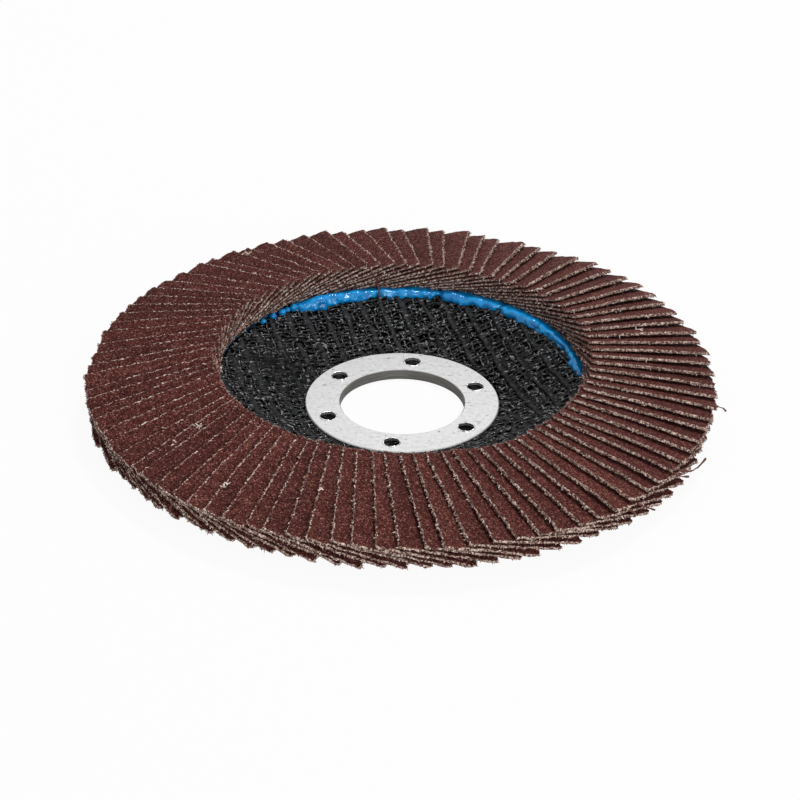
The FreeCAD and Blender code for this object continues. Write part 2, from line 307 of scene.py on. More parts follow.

# Centre ring. Cold-rolled steel strip, blanked, drawn through the bore and zinc plated: a
# pale even grey with faint handling scratches and small dark pits, and down the wall of the bore,
# which starts at this radius, fine drawing lines on a darker grey that is painted shade.
bore_wall = 11.2 * mm
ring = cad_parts["centre_ring"]
zinc, tree, shader, place = new_finish("zinc_plated_steel")
rolled = add_node(tree, "ShaderNodeMapping", {}, {"Vector": place, "Scale": (1.0, 1.0, 22.0)})
lines = add_node(tree, "ShaderNodeTexNoise", {}, {
    "Vector": rolled.outputs[0], "Scale": 0.3 / mm, "Detail": 5.0})
pits = add_node(tree, "ShaderNodeTexNoise", {}, {"Vector": place, "Scale": 1.5 / mm, "Detail": 2.0})
tint = add_node(tree, "ShaderNodeValToRGB", {}, {"Fac": pits.outputs["Fac"]})
set_ramp(tint, [(0.24, "464442"), (0.28, "b0b0b0"), (0.5, "bcbcbc"), (1.0, "c6c6c6")])
marks = tint.outputs["Color"]
for turn, offset in ((0.5, 0.0), (-1.1, 0.04), (2.2, 0.09), (1.6, 0.13)):
    strokes = add_node(tree, "ShaderNodeMapping", {}, {
        "Vector": place, "Location": (offset, offset, 0.0), "Rotation": (0.0, 0.0, turn),
        "Scale": (1.0, 5.0, 1.0)})
    scratch = add_node(tree, "ShaderNodeTexNoise", {}, {
        "Vector": strokes.outputs[0], "Scale": 0.42 / mm, "Detail": 2.0, "Distortion": 1.2})
    faint = add_node(tree, "ShaderNodeMapRange", {}, {
        "Value": scratch.outputs["Fac"], "From Min": 0.26, "From Max": 0.31, "To Min": 0.42, "To Max": 1.0})
    marked = add_node(tree, "ShaderNodeVectorMath", {"operation": "SCALE"}, {
        0: marks, "Scale": faint.outputs[0]})
    marks = marked.outputs[0]
outward = add_node(tree, "ShaderNodeVectorMath", {"operation": "MULTIPLY"}, {0: place, 1: (1.0, 1.0, 0.0)})
radius = add_node(tree, "ShaderNodeVectorMath", {"operation": "LENGTH"}, {0: outward.outputs[0]})
collar = add_node(tree, "ShaderNodeMapRange", {}, {
    "Value": radius.outputs["Value"], "From Min": bore_wall - 0.05 * mm,
    "From Max": bore_wall + 0.05 * mm, "To Min": 1.0, "To Max": 0.0})
# Painted shade: the bore wall's steel is given a darker grey than the face, with the drawing lines in it.
bore_lines_in_painted_shade = add_node(tree, "ShaderNodeValToRGB", {}, {"Fac": lines.outputs["Fac"]})
set_ramp(bore_lines_in_painted_shade, [(0.35, "62605e"), (0.65, "868480")])
steel = add_node(tree, "ShaderNodeMix", {"data_type": "RGBA"},
                 {"Factor": collar.outputs[0], 6: marks, 7: bore_lines_in_painted_shade.outputs["Color"]})
bump = add_node(tree, "ShaderNodeBump", {}, {
    "Strength": 0.3, "Distance": 0.03 * mm, "Height": lines.outputs["Fac"]})
tree.links.new(steel.outputs[2], shader.inputs["Base Color"])
tree.links.new(bump.outputs[0], shader.inputs["Normal"])
shader.inputs["Metallic"].default_value = 1.0
shader.inputs["Roughness"].default_value = 0.56
ring.data.materials.clear()
ring.data.materials.append(zinc)

# Burrs. The six holes are punched from below, which raises a thin bright lip of torn steel
# round each on the upper face, uneven and higher on one side.
burr, tree, shader, place = new_finish("torn_bright_steel")
tears = add_node(tree, "ShaderNodeTexNoise", {}, {"Vector": place, "Scale": 2.2 / mm, "Detail": 2.0})
tint = add_node(tree, "ShaderNodeValToRGB", {}, {"Fac": tears.outputs["Fac"]})
set_ramp(tint, [(0.38, "8a8a88"), (0.5, "e4e4e2"), (0.7, "fafaf8")])
tree.links.new(tint.outputs["Color"], shader.inputs["Base Color"])
shader.inputs["Metallic"].default_value = 1.0
shader.inputs["Roughness"].default_value = 0.3
hole_radius = 1.5 * mm
hole_circle = 14.215 * mm
hole_angle = math.radians(21.6)
ring_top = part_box("centre_ring")[1].z
hole_centres = []
for index in range(6):
    angle = hole_angle + index * math.pi / 3
    hole_centres.append((hole_circle * math.cos(angle), hole_circle * math.sin(angle), ring_top))
burrs = new_piece("hole_burrs", hole_centres, [], [])
tree, sizes = new_tree("burr_round_each_hole", [
    ("Hole radius", "NodeSocketFloat"),
    ("Thickness", "NodeSocketFloat"),
    ("Finish", "NodeSocketMaterial"),
])
lip = add_node(tree, "GeometryNodeCurvePrimitiveCircle", {}, {
    "Resolution": 40, "Radius": sizes["Hole radius"]})
laid = add_node(tree, "GeometryNodeInstanceOnPoints", {}, {
    "Points": sizes["Geometry"], "Instance": lip.outputs[0]})
lips = add_node(tree, "GeometryNodeRealizeInstances", {}, {"Geometry": laid.outputs[0]})
torn = add_node(tree, "ShaderNodeTexNoise", {}, {"Scale": 0.9 / mm, "Detail": 2.0})
uneven = add_node(tree, "ShaderNodeMapRange", {}, {
    "Value": torn.outputs["Fac"], "From Min": 0.35, "From Max": 0.65, "To Min": 0.3, "To Max": 1.3})
section = add_node(tree, "GeometryNodeCurvePrimitiveCircle", {}, {
    "Resolution": 6, "Radius": sizes["Thickness"]})
swept = add_node(tree, "GeometryNodeCurveToMesh", {}, {
    "Curve": lips.outputs[0], "Profile Curve": section.outputs[0], "Scale": uneven.outputs[0]})
end_tree(tree, swept.outputs[0], sizes["Finish"])
grow(burrs, tree, {"Hole radius": hole_radius, "Thickness": 0.15 * mm, "Finish": burr})
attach(burrs, "root")

# Adhesive. Blue two-part epoxy, laid on the plate's outer band as a wet bead; the flaps are
# pressed into it and it creeps out round their inner ends as a wavy, very glossy lip.
bead_middle = 31.75 * mm
bead_height = 6.35 * mm
bead_reach = 0.85 * mm
bead_rise = 0.95 * mm
bead_back = 33.6 * mm
bed_outer = 42.5 * mm
bed_top = 5.2 * mm
bed_bottom = 4.7 * mm
steps = 720

# Angles here and below count from the camera's right-hand side, which lies this many degrees
# clockwise of the disc's own X axis.
camera_turn = 1.42

# Where the lip swells, or thins if the last value is below 0: an angle, how far it spreads to
# either side, both in degrees, and the share of the bead's size that it adds.
lips = [
    (119, 6, 1.0), (106, 4, 0.45), (98.5, 1.2, -0.45), (88, 4, 0.1), (78, 1.6, -0.5), (69, 6, 0.45),
    (57, 1.5, -0.55), (46, 8, 0.15), (24, 14, -0.28), (13, 2.2, 0.45), (-2, 7, -0.9),
    (134.5, 5.5, -2.3), (146, 8, -1.9), (160, 13, -1.9), (184, 16, -1.7), (204, 12, -1.4),
]


def added_at(angle, places):
    """Sum of what the places add at an angle of the disc's own, in degrees."""
    total = 0.0
    for centre, spread, amount in places:
        apart = (angle + camera_turn - centre + 180) % 360 - 180
        total += amount * math.exp(-(apart / spread) ** 2)
    return total


# Half round in section on the dish's side; behind it the bed runs out flat under the flaps.
profile = []
for index in range(19):
    swing = math.radians(-96 + 186 * index / 18)
    profile.append((-math.cos(swing), math.sin(swing)))
points = []
faces = []
for step in range(steps):
    angle = 2 * math.pi * step / steps
    course = Vector((math.cos(angle), math.sin(angle), 0.0))
    swell = 1.0 + added_at(math.degrees(angle), lips)
    swell += 0.25 * noise.noise(course * 9.0) + 0.3 * noise.noise(course * 24.0)
    swell = max(0.02, swell)
    reach = bead_reach * swell
    middle_height = bead_height + 0.25 * mm * noise.noise(course * 12.0 + Vector((0, 0, 4)))
    for across, up in profile:
        lump = noise.noise(Vector((course.x * 22, course.y * 22, up * 1.2)))
        lump += 0.5 * noise.noise(Vector((course.x * 60, course.y * 60, up * 2.0)))
        radius = bead_middle + across * reach * (1 + 0.35 * lump) + max(0.0, 0.8 - swell) * 2.2 * mm
        height = middle_height + up * (0.3 + 0.7 * min(swell, 1.7)) * bead_rise * (1 + 0.25 * lump)
        points.append(course * radius + Vector((0, 0, height)))
    points.append(course * bead_back + Vector((0, 0, (6.2 + 0.8 * min(1.0, swell)) * mm)))
    points.append(course * bed_outer + Vector((0, 0, bed_top)))
    points.append(course * bed_outer + Vector((0, 0, bed_bottom)))
    points.append(course * bead_back + Vector((0, 0, bed_top + 0.2 * mm)))
ring_size = len(profile) + 4
for step in range(steps):
    here = step * ring_size
    there = (step + 1) % steps * ring_size
    for index in range(ring_size):
        after = (index + 1) % ring_size
        faces.append((here + index, here + after, there + after, there + index))
bead = new_piece("adhesive_bead", points, [], faces)
bead.data.shade_smooth()

# Cast epoxy: one strong blue all through and very glossy, rippled as it set.
epoxy, tree, shader, place = new_finish("cast_blue_epoxy")
ripple = add_node(tree, "ShaderNodeTexNoise", {}, {"Vector": place, "Scale": 0.52 / mm, "Detail": 1.0})
bump = add_node(tree, "ShaderNodeBump", {}, {
    "Strength": 0.8, "Distance": 0.4 * mm, "Height": ripple.outputs["Fac"]})
tint = add_node(tree, "ShaderNodeValToRGB", {}, {"Fac": ripple.outputs["Fac"]})
set_ramp(tint, [(0.3, "0474b8"), (0.7, "0a9ae0")])
tree.links.new(tint.outputs["Color"], shader.inputs["Base Color"])
tree.links.new(bump.outputs[0], shader.inputs["Normal"])
shader.inputs["Roughness"].default_value = 0.07
shader.inputs["Specular IOR Level"].default_value = 0.36
bead.data.materials.append(epoxy)
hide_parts("adhesive")
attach(bead, "root")

# Drops. Past the bead's end the epoxy stands in single drops, the largest 1.6 mm across, which
# shrink along the flaps' feet; each is an angle in degrees and a radius in millimetres.
drops = [
    (128.8, 0.8), (131.2, 0.62), (133.6, 0.75), (137.6, 0.72), (142.0, 0.62), (147.2, 0.34), (150.4, 0.28),
    (176.0, 0.2), (181.5, 0.25), (184.0, 0.18), (4.5, 0.3), (-3.0, 0.2),
]


def place_at(angle, radius, height):
    """Point at an angle in degrees, and a radius and a height in millimetres."""
    around = math.radians(angle - camera_turn)
    return Vector((radius * math.cos(around), radius * math.sin(around), height)) * mm


drop_places = [place_at(angle, 33.2 - radius, 6.3 + 0.5 * radius) for angle, radius in drops]
drop_pieces = new_piece("adhesive_drops", drop_places, [], [])
drop_pieces.data.attributes.new("girth", "FLOAT", "POINT").data.foreach_set(
    "value", [radius * mm for _, radius in drops])
tree, sizes = new_tree("drops_on_points", [
    ("Finish", "NodeSocketMaterial"),
])
ball = add_node(tree, "GeometryNodeMeshIcoSphere", {}, {"Radius": 1.0, "Subdivisions": 3})
smooth = add_node(tree, "GeometryNodeSetShadeSmooth", {}, {"Geometry": ball.outputs[0]})
size = add_node(tree, "GeometryNodeInputNamedAttribute", {"data_type": "FLOAT"}, {"Name": "girth"})
laid = add_node(tree, "GeometryNodeInstanceOnPoints", {}, {
    "Points": sizes["Geometry"], "Instance": smooth.outputs[0], "Scale": size.outputs["Attribute"]})
end_tree(tree, laid.outputs[0], sizes["Finish"])
grow(drop_pieces, tree, {"Finish": epoxy})
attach(drop_pieces, "root")

# Flaps. Ninety rectangles cut from aluminium oxide abrasive cloth, each lying on the next
# one clockwise and set by its inner end in the epoxy. Guillotined cloth frays, so every cut
# edge shows pale yarn ends under the brown grain, and no two flaps lie quite alike.
flap_count = 90
flap_length = 23.5 * mm
flap_width = 17.5 * mm
flap_thickness = 0.5 * mm

# The free edge starts at the inner radius and passes the axis at an offset. From there the
# sheet slopes down outwards, and tilts down behind the edge to dip under its other neighbour.
flap_edge_offset = 7.05 * mm
flap_inner_radius = 33.3 * mm
face_slope = math.radians(10.5)
flap_tilt = math.radians(16.28)
flap_start = math.sqrt(flap_inner_radius ** 2 - flap_edge_offset ** 2)
flap_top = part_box("flap_pair_01")[1].z

# One flap in its own frame: X along the free edge from the inner end, Y back from the free
# edge, Z out of the grain. Rows crowd towards the free edge, and the far corner of the outer
# end is cut back a little, as is the near one by each flap's own wear.
column_count = 60
row_count = 16
columns = [flap_length * index / column_count for index in range(column_count + 1)]
rows = [(flap_width - 2.0 * mm) * (index / row_count) ** 1.5 for index in range(row_count + 1)]
rows += [flap_width - 1.1 * mm, flap_width - 0.5 * mm, flap_width]
free_span = 3.0 * mm
sag_span = 7.0 * mm
fray_span = 0.7 * mm
blunt_back = 0.5 * mm
back_span = 1.4 * mm
corner_length = 4.0 * mm
layers = [0.0, -0.5 * flap_thickness, -flap_thickness]
spots = {}
points = []
for x_index, x in enumerate(columns):
    for y_index, y in enumerate(rows):
        rim = x_index in (0, len(columns) - 1) or y_index in (0, len(rows) - 1)
        for z_index, z in enumerate(layers):
            if rim or z_index != 1:
                spots[x_index, y_index, z_index] = len(points)
                worn = blunt_back * max(0.0, 1 - (flap_width - y) / back_span) ** 2
                share = max(0.0, 1 - (flap_length - x) / corner_length)
                points.append((x - worn * share, y, z))
faces = []
cut_faces = []
for x_index in range(len(columns) - 1):
    for y_index in range(len(rows) - 1):
        corners = [(x_index, y_index), (x_index + 1, y_index)]
        corners += [(x_index + 1, y_index + 1), (x_index, y_index + 1)]
        faces.append([spots[x, y, 0] for x, y in corners])
        faces.append([spots[x, y, 2] for x, y in reversed(corners)])
        cut_faces += [False, False]
outline = [(x, 0) for x in range(len(columns) - 1)]
outline += [(len(columns) - 1, y) for y in range(len(rows) - 1)]
outline += [(x, len(rows) - 1) for x in range(len(columns) - 1, 0, -1)]
outline += [(0, y) for y in range(len(rows) - 1, 0, -1)]
for index, here in enumerate(outline):
    there = outline[(index + 1) % len(outline)]
    for layer in range(2):
        faces.append([spots[(*here, layer)], spots[(*here, layer + 1)],
                      spots[(*there, layer + 1)], spots[(*there, layer)]])
        cut_faces.append(True)
places = np.array(points)
along, back = places[:, 0], places[:, 1]
out_end = np.clip((along / flap_length - 0.5) / 0.5, 0, 1)
near_free = np.clip(1 - back / sag_span, 0, 1)
flap_cut = new_piece("flap_cut", points, [], faces)
flap_mesh = flap_cut.data
flap_mesh.shade_smooth()
flap_mesh.set_sharp_from_angle(angle=math.radians(40))
rims = np.stack([back, flap_width - back, along, flap_length - along])
by_rim = np.clip(1 - rims / fray_span, 0, 1)
outward = np.stack([by_rim[3] - by_rim[2], by_rim[1] - by_rim[0], 0 * along], axis=1)

# What the finish and the tree below read at each point: millimetres in from the rim, depth in
# the cloth, how far it lifts, sags or wears with its flap, how much fraying reaches it, which also
# sets how high the painted shade climbs the cut side, how much of that fraying shows, and the way out of
# the nearest edge.
near_end = np.clip(1 - (flap_length - along) / corner_length, 0, 1)
for name, values in (
    ("border", rims.min(axis=0) / mm),
    ("depth", -places[:, 2] / flap_thickness),
    ("lift", (1 - back / flap_width) * along / flap_length),
    ("sag", out_end ** 2 * near_free ** 1.5),
    ("corner", np.clip(1 - back / free_span, 0, 1) ** 1.6 * near_end),
    ("reached", np.clip(along / (1.2 * mm), 0.4, 1)),
    ("shown", np.clip(np.maximum((flap_width - back) / (1.0 * mm), along / (1.0 * mm) - 18.5), 0, 1)),
):
    flap_mesh.attributes.new(name, "FLOAT", "POINT").data.foreach_set("value", values.astype(np.float32))
for name, values in (("local", places), ("outward", outward)):
    flap_mesh.attributes.new(name, "FLOAT_VECTOR", "POINT").data.foreach_set(
        "vector", values.astype(np.float32).ravel())
flap_mesh.attributes.new("cut", "BOOLEAN", "FACE").data.foreach_set("value", cut_faces)

# One yarn end: a short three-sided tuft that tapers and bends over, along its own Z.
tuft_length = 0.3 * mm
tuft_radius = 0.1 * mm
points = []
for share, bend, thin in ((0.0, 0.0, 1.0), (0.5, 0.12, 0.9), (1.0, 0.4, 0.45)):
    for corner in range(3):
        angle = 2 * math.pi / 3 * corner
        points.append((
            tuft_radius * thin * math.cos(angle) + bend * tuft_length * 0.6,
            tuft_radius * thin * math.sin(angle),
            tuft_length * share - 0.1 * tuft_length,
        ))
faces = [(6, 7, 8)]
for ring_start in (0, 3):
    for corner in range(3):
        after = (corner + 1) % 3
        foot = [ring_start + corner, ring_start + after]
        faces.append((*foot, foot[1] + 3, foot[0] + 3))
tuft = new_piece("yarn_end", points, [], faces)

# Brown aluminium oxide grain in red-brown resin over cotton cloth. The grains are 0.2 mm
# across, as on a medium grit; the coat is matt, with here and there a glossier crystal face.
# Frayed rims and cut sides show the pale cotton.
grain_size = 0.2 * mm
grain, tree, shader, place = new_finish("brown_aluminium_oxide_cloth")
depth = add_node(tree, "ShaderNodeAttribute", {"attribute_name": "depth"}, {})
border = add_node(tree, "ShaderNodeAttribute", {"attribute_name": "border"}, {})
tone = add_node(tree, "ShaderNodeAttribute", {"attribute_name": "tone"}, {})
crystals = add_node(tree, "ShaderNodeTexVoronoi", {"feature": "F1"}, {
    "Vector": place, "Scale": 1 / grain_size})
pick = add_node(tree, "ShaderNodeSeparateColor", {}, {"Color": crystals.outputs["Color"]})
coat = add_node(tree, "ShaderNodeValToRGB", {}, {"Fac": pick.outputs[0]})
set_ramp(coat, [(0.0, "220f0d"), (0.3, "42201d"), (0.7, "5a2f2b"), (0.9, "70413b"), (1.0, "9c6e64")])
patches = add_node(tree, "ShaderNodeTexNoise", {}, {"Vector": place, "Scale": 0.38 / mm, "Detail": 4.0})
shade = add_node(tree, "ShaderNodeMapRange", {}, {
    "Value": patches.outputs["Fac"], "From Min": 0.3, "From Max": 0.7, "To Min": 0.88, "To Max": 1.12})
level = add_node(tree, "ShaderNodeMath", {"operation": "MULTIPLY"},
                 {0: shade.outputs[0], 1: tone.outputs["Fac"]})
shaded = add_node(tree, "ShaderNodeVectorMath", {"operation": "SCALE"},
                  {0: coat.outputs["Color"], "Scale": level.outputs[0]})

# Along the rim the coat is frayed off, and it ends partway down the cut side; below it the side
# shows its cotton, whose lower part is painted shade that darkens with depth and climbs higher
# on the inner ends than on the free edges, standing in for the dark gaps between the flaps.
threads = add_node(tree, "ShaderNodeTexNoise", {}, {"Vector": place, "Scale": 2.6 / mm, "Detail": 3.0})
fray = add_node(tree, "ShaderNodeMath", {"operation": "MULTIPLY_ADD"},
                {0: threads.outputs["Fac"], 1: -0.75, 2: border.outputs["Fac"]})
worn = add_node(tree, "ShaderNodeMapRange", {}, {
    "Value": fray.outputs[0], "From Min": -0.38, "From Max": -0.20, "To Min": 1.0, "To Max": 0.0})
swells = add_node(tree, "ShaderNodeMath", {"operation": "MULTIPLY_ADD"},
                  {0: patches.outputs["Fac"], 1: 0.7, 2: depth.outputs["Fac"]})
side = add_node(tree, "ShaderNodeMath", {"operation": "MULTIPLY_ADD"},
                {0: threads.outputs["Fac"], 1: 0.5, 2: swells.outputs[0]})
side = add_node(tree, "ShaderNodeMath", {"operation": "SUBTRACT"}, {0: side.outputs[0], 1: 0.4})
under = add_node(tree, "ShaderNodeMapRange", {}, {
    "Value": side.outputs[0], "From Min": 0.40, "From Max": 0.52, "To Min": 0.0, "To Max": 1.0})
# Painted shade: from here the cotton is darkened towards the bottom of the cut side, most on the inner
# ends.
reached = add_node(tree, "ShaderNodeAttribute", {"attribute_name": "reached"}, {})
spared = add_node(tree, "ShaderNodeMath", {"operation": "MULTIPLY_ADD"},
                  {0: reached.outputs["Fac"], 1: -0.4, 2: side.outputs[0]})
shadowed = add_node(tree, "ShaderNodeMapRange", {}, {
    "Value": spared.outputs[0], "From Min": 0.56, "From Max": 0.78, "To Min": 1.0, "To Max": 0.12})
worn = add_node(tree, "ShaderNodeMath", {"operation": "MULTIPLY"}, {
    0: worn.outputs[0], 1: reached.outputs["Fac"]})
bare = add_node(tree, "ShaderNodeMath", {"operation": "MAXIMUM"}, {0: worn.outputs[0], 1: under.outputs[0]})
cotton = add_node(tree, "ShaderNodeValToRGB", {}, {"Fac": threads.outputs["Fac"]})
set_ramp(cotton, [(0.38, "4e342b"), (0.5, "9e8175"), (0.62, "e4d2c6")])
cotton_in_painted_shade = add_node(tree, "ShaderNodeVectorMath", {"operation": "SCALE"},
                 {0: cotton.outputs["Color"], "Scale": shadowed.outputs[0]})
mixed = add_node(tree, "ShaderNodeMix", {"data_type": "RGBA"},
                 {"Factor": bare.outputs[0], 6: shaded.outputs[0], 7: cotton_in_painted_shade.outputs[0]})
facets = add_node(tree, "ShaderNodeMath", {"operation": "ADD"},
                  {0: crystals.outputs["Distance"], 1: threads.outputs["Fac"]})
bump = add_node(tree, "ShaderNodeBump", {}, {
    "Strength": 0.9, "Distance": 0.12 * mm, "Height": facets.outputs[0]})
sparkle = add_node(tree, "ShaderNodeMapRange", {}, {
    "Value": pick.outputs[1], "From Min": 0.86, "From Max": 0.95, "To Min": 0.82, "To Max": 0.38})
tree.links.new(mixed.outputs[2], shader.inputs["Base Color"])
tree.links.new(bump.outputs[0], shader.inputs["Normal"])
tree.links.new(sparkle.outputs[0], shader.inputs["Roughness"])
shader.inputs["Specular IOR Level"].default_value = 0.06

# Cut cotton yarn: unbleached, stained here and there by the coat.
cotton_yarn, tree, shader, place = new_finish("unbleached_cotton_yarn")
tone = add_node(tree, "ShaderNodeAttribute", {"attribute_name": "stain"}, {})
tint = add_node(tree, "ShaderNodeValToRGB", {}, {"Fac": tone.outputs["Fac"]})
set_ramp(tint, [(0.0, "2c1613"), (0.4, "744e45"), (0.7, "b08f83"), (1.0, "f6e8de")])
tree.links.new(tint.outputs["Color"], shader.inputs["Base Color"])
shader.inputs["Roughness"].default_value = 0.9
shader.inputs["Specular IOR Level"].default_value = 0.1

# The fan: a flap on each seat, moved by its own slow waves, with a rim that wanders where the
# cut ran. Yarn ends then stand on its cut sides, fewer near the grain, near the foot and where
# the next flap hides them, and a few of them are long.
tree, sizes = new_tree("fan_of_flaps", [
    ("Flap", "NodeSocketObject"),
    ("Yarn end", "NodeSocketObject"),
    ("Lift", "NodeSocketFloat"),
    ("Sag", "NodeSocketFloat"),
    ("Edge wander", "NodeSocketFloat"),
    ("Yarn spacing", "NodeSocketFloat"),
    ("Seed", "NodeSocketInt"),
    ("Cloth", "NodeSocketMaterial"),
    ("Yarn", "NodeSocketMaterial"),
])
flap = add_node(tree, "GeometryNodeObjectInfo", {}, {"Object": sizes["Flap"]})
turn = add_node(tree, "GeometryNodeInputNamedAttribute", {"data_type": "FLOAT_VECTOR"}, {"Name": "turn"})
rotation = add_node(tree, "FunctionNodeEulerToRotation", {}, {"Euler": turn.outputs["Attribute"]})
laid = add_node(tree, "GeometryNodeInstanceOnPoints", {}, {
    "Points": sizes["Geometry"], "Instance": flap.outputs["Geometry"], "Rotation": rotation.outputs[0]})
fan = add_node(tree, "GeometryNodeRealizeInstances", {}, {"Geometry": laid.outputs[0]})
local = add_node(tree, "GeometryNodeInputNamedAttribute", {"data_type": "FLOAT_VECTOR"}, {"Name": "local"})
own = add_node(tree, "GeometryNodeInputNamedAttribute", {"data_type": "FLOAT"}, {"Name": "own"})
own_shift = add_node(tree, "ShaderNodeCombineXYZ", {}, {"Z": own.outputs["Attribute"]})
own_place = add_node(tree, "ShaderNodeVectorMath", {"operation": "ADD"},
                     {0: local.outputs["Attribute"], 1: own_shift.outputs[0]})
slow = add_node(tree, "ShaderNodeTexNoise", {}, {
    "Vector": own_place.outputs[0], "Scale": 0.07 / mm, "Detail": 1.0})
rise = 0.0
for name, size, least, most in (("lift", "Lift", -0.5, 0.5), ("sag", "Sag", -0.75, -1.1)):
    mask = add_node(tree, "GeometryNodeInputNamedAttribute", {"data_type": "FLOAT"}, {"Name": name})
    uneven = add_node(tree, "ShaderNodeMapRange", {}, {
        "Value": slow.outputs["Fac"], "From Min": 0.3, "From Max": 0.7, "To Min": least, "To Max": most})
    scaled = add_node(tree, "ShaderNodeMath", {"operation": "MULTIPLY"}, {
        0: uneven.outputs[0], 1: sizes[size]})
    total = add_node(tree, "ShaderNodeMath", {"operation": "MULTIPLY_ADD"},
                     {0: scaled.outputs[0], 1: mask.outputs["Attribute"], 2: rise})
    rise = total.outputs[0]
quick = add_node(tree, "ShaderNodeTexNoise", {}, {
    "Vector": own_place.outputs[0], "Scale": 1.3 / mm, "Detail": 2.0})
shift = add_node(tree, "ShaderNodeMapRange", {}, {
    "Value": quick.outputs["Fac"], "From Min": 0.3, "From Max": 0.7, "To Min": -0.7, "To Max": 0.3})
shift = add_node(tree, "ShaderNodeMath", {"operation": "MULTIPLY"}, {
    0: shift.outputs[0], 1: sizes["Edge wander"]})
outward = add_node(tree, "GeometryNodeInputNamedAttribute", {"data_type": "FLOAT_VECTOR"}, {
    "Name": "outward"})
push = add_node(tree, "ShaderNodeVectorMath", {"operation": "SCALE"},
                {0: outward.outputs["Attribute"], "Scale": shift.outputs[0]})
corner = add_node(tree, "GeometryNodeInputNamedAttribute", {"data_type": "FLOAT"}, {"Name": "corner"})
wear = add_node(tree, "GeometryNodeInputNamedAttribute", {"data_type": "FLOAT"}, {"Name": "wear"})
blunt = add_node(tree, "ShaderNodeMath", {"operation": "MULTIPLY"},
                 {0: corner.outputs["Attribute"], 1: wear.outputs["Attribute"]})
blunt = add_node(tree, "ShaderNodeMath", {"operation": "MULTIPLY"}, {0: blunt.outputs[0], 1: -1.0})
worn_off = add_node(tree, "ShaderNodeCombineXYZ", {}, {"X": blunt.outputs[0], "Z": rise})
moved = add_node(tree, "ShaderNodeVectorMath", {"operation": "ADD"}, {
    0: push.outputs[0], 1: worn_off.outputs[0]})
turned = add_node(tree, "FunctionNodeRotateVector", {}, {
    "Vector": moved.outputs[0], "Rotation": rotation.outputs[0]})
frayed = add_node(tree, "GeometryNodeSetPosition", {}, {
    "Geometry": fan.outputs[0], "Offset": turned.outputs[0]})
sheets = add_node(tree, "GeometryNodeSetMaterial", {}, {
    "Geometry": frayed.outputs[0], "Material": sizes["Cloth"]})
cut = add_node(tree, "GeometryNodeInputNamedAttribute", {"data_type": "BOOLEAN"}, {"Name": "cut"})
clumps = add_node(tree, "ShaderNodeTexNoise", {}, {"Scale": 0.65 / mm, "Detail": 2.0})
crowding = add_node(tree, "ShaderNodeMapRange", {}, {
    "Value": clumps.outputs["Fac"], "From Min": 0.42, "From Max": 0.56, "To Min": 0.15, "To Max": 1.0})
reached = add_node(tree, "GeometryNodeInputNamedAttribute", {"data_type": "FLOAT"}, {"Name": "reached"})
crowding = add_node(tree, "ShaderNodeMath", {"operation": "MULTIPLY"},
                    {0: crowding.outputs[0], 1: reached.outputs["Attribute"]})
below = add_node(tree, "GeometryNodeInputNamedAttribute", {"data_type": "FLOAT"}, {"Name": "depth"})
lower = add_node(tree, "ShaderNodeMapRange", {}, {
    "Value": below.outputs["Attribute"], "From Min": 0.0, "From Max": 0.7, "To Min": 0.08, "To Max": 1.0})
crowding = add_node(tree, "ShaderNodeMath", {"operation": "MULTIPLY"},
                    {0: crowding.outputs[0], 1: lower.outputs[0]})
shown = add_node(tree, "GeometryNodeInputNamedAttribute", {"data_type": "FLOAT"}, {"Name": "shown"})
crowding = add_node(tree, "ShaderNodeMath", {"operation": "MULTIPLY"},
                    {0: crowding.outputs[0], 1: shown.outputs["Attribute"]})
seats = add_node(tree, "GeometryNodeDistributePointsOnFaces", {"distribute_method": "POISSON"}, {
    "Mesh": frayed.outputs[0], "Selection": cut.outputs["Attribute"], "Distance Min": sizes["Yarn spacing"],
    "Density Max": 32 / mm ** 2, "Density Factor": crowding.outputs[0], "Seed": sizes["Seed"]})
splay = add_node(tree, "FunctionNodeRandomValue", {"data_type": "FLOAT_VECTOR"}, {
    0: (-0.6, -0.6, -3.14), 1: (0.6, 0.6, 3.14), "Seed": sizes["Seed"]})
hanging = add_node(tree, "ShaderNodeVectorMath", {"operation": "ADD"},
                   {0: seats.outputs["Normal"], 1: (0.0, 0.0, -0.5)})
aimed = add_node(tree, "FunctionNodeAlignRotationToVector", {"axis": "Z"}, {"Vector": hanging.outputs[0]})
splayed = add_node(tree, "FunctionNodeEulerToRotation", {}, {"Euler": splay.outputs[0]})
leaning = add_node(tree, "FunctionNodeRotateRotation", {"rotation_space": "LOCAL"},
                   {"Rotation": aimed.outputs[0], "Rotate By": splayed.outputs[0]})
long = add_node(tree, "FunctionNodeRandomValue", {"data_type": "FLOAT"}, {
    2: 0.0, 3: 1.0, "Seed": sizes["Seed"]})
rare = add_node(tree, "ShaderNodeMath", {"operation": "POWER"}, {0: long.outputs[1], 1: 60.0})
longer = add_node(tree, "ShaderNodeMapRange", {}, {
    "Value": long.outputs[1], "From Min": 0.0, "From Max": 1.0, "To Min": 0.4, "To Max": 1.3})
longer = add_node(tree, "ShaderNodeMath", {"operation": "ADD"}, {0: rare.outputs[0], 1: longer.outputs[0]})
stretch = add_node(tree, "ShaderNodeCombineXYZ", {}, {"X": 1.0, "Y": 1.0, "Z": longer.outputs[0]})
tuft_shape = add_node(tree, "GeometryNodeObjectInfo", {}, {"Object": sizes["Yarn end"]})
tufts = add_node(tree, "GeometryNodeInstanceOnPoints", {}, {
    "Points": seats.outputs["Points"], "Instance": tuft_shape.outputs["Geometry"],
    "Rotation": leaning.outputs[0], "Scale": stretch.outputs[0]})
stain = add_node(tree, "FunctionNodeRandomValue", {"data_type": "FLOAT"}, {2: 0.0, 3: 1.0, "Seed": 3})
